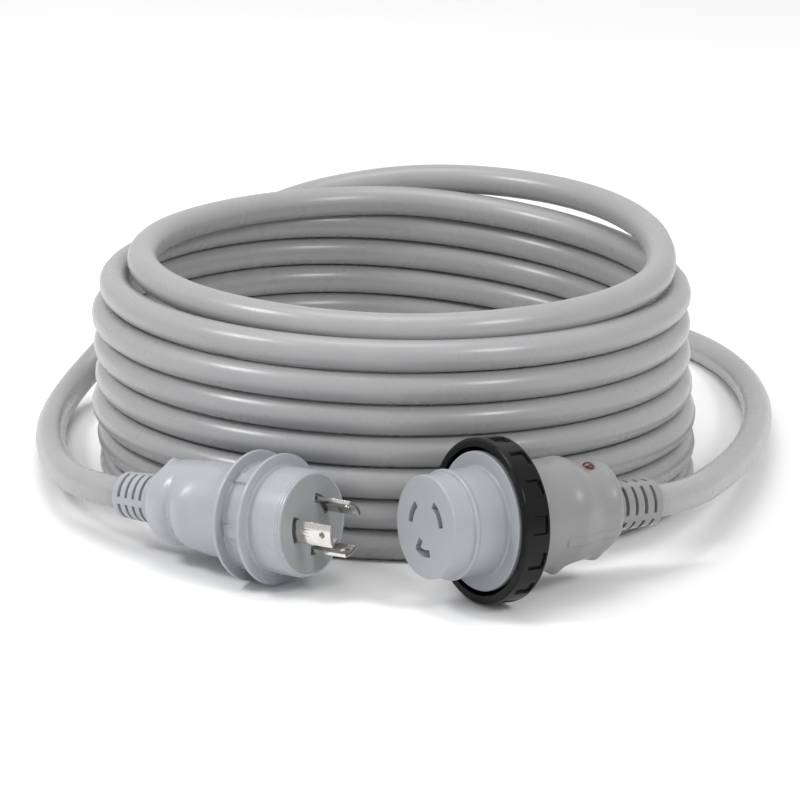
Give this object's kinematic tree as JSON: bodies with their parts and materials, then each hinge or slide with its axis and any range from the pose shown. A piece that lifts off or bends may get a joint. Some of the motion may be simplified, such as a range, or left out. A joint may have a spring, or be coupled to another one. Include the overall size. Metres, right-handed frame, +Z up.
{
  "type": "shore power cord",
  "caption": "Coiled mains hookup cord with a locking blade plug at one end and a locking connector with a threaded ring and indicator lens at the other.",
  "frame": {"origin": "on the floor, under the middle of the box that holds the plug and the connector", "axes": "+Z up from the floor; +X from the plug's side towards the connector's side; +Y from the devices towards the coil"},
  "size_m": [0.4258, 0.5992, 0.143],
  "materials": {
    "cord_jacket": "satin vinyl jacket",
    "device_vinyl": "satin moulded vinyl",
    "face_plastic": "fine matt moulded plastic",
    "ring_plastic": "semi-gloss",
    "nickel": "bright nickel plate",
    "contact_brass": "rolled",
    "inner_plastic": "moulded",
    "wire_black": "extruded insulation",
    "wire_white": "extruded insulation",
    "wire_green": "extruded insulation",
    "red_lens": "clear tinted",
    "lamp_glass": "clear",
    "resistor_body": "lacquered"
  },
  "bodies": {
    "root": {"plug_body": "device_vinyl", "plug_face": "face_plastic", "plug_blade_line": "nickel", "plug_blade_neutral": "nickel", "plug_blade_ground": "nickel", "plug_inner_mould": "inner_plastic", "plug_wire_line": "wire_black", "plug_wire_neutral": "wire_white", "plug_wire_ground": "wire_green", "plug_strain_relief": "device_vinyl", "plug_cord_end": "cord_jacket", "connector_body": "device_vinyl", "connector_nose": "face_plastic", "contact_line": "contact_brass", "contact_neutral": "contact_brass", "contact_ground": "contact_brass", "connector_inner_mould": "inner_plastic", "connector_wire_line": "wire_black", "connector_wire_neutral": "wire_white", "connector_wire_ground": "wire_green", "connector_strain_relief": "device_vinyl", "connector_cord_end": "cord_jacket", "indicator_lens": "red_lens", "indicator_lamp": "lamp_glass", "indicator_resistor": "resistor_body", "indicator_leads": "nickel", "cord_coil": "cord_jacket", "plug_tail": "cord_jacket", "connector_tail": "cord_jacket"},
    "ring": {"locking_ring": "ring_plastic"}
  },
  "joints": [
    {"name": "ring_spin", "type": "hinge", "parent": "root", "child": "ring", "pos_m": [0.0531, -0.02384, 0.04315], "axis": [-0.8297, -0.5554, 0.0558], "continuous": true}
  ]
}
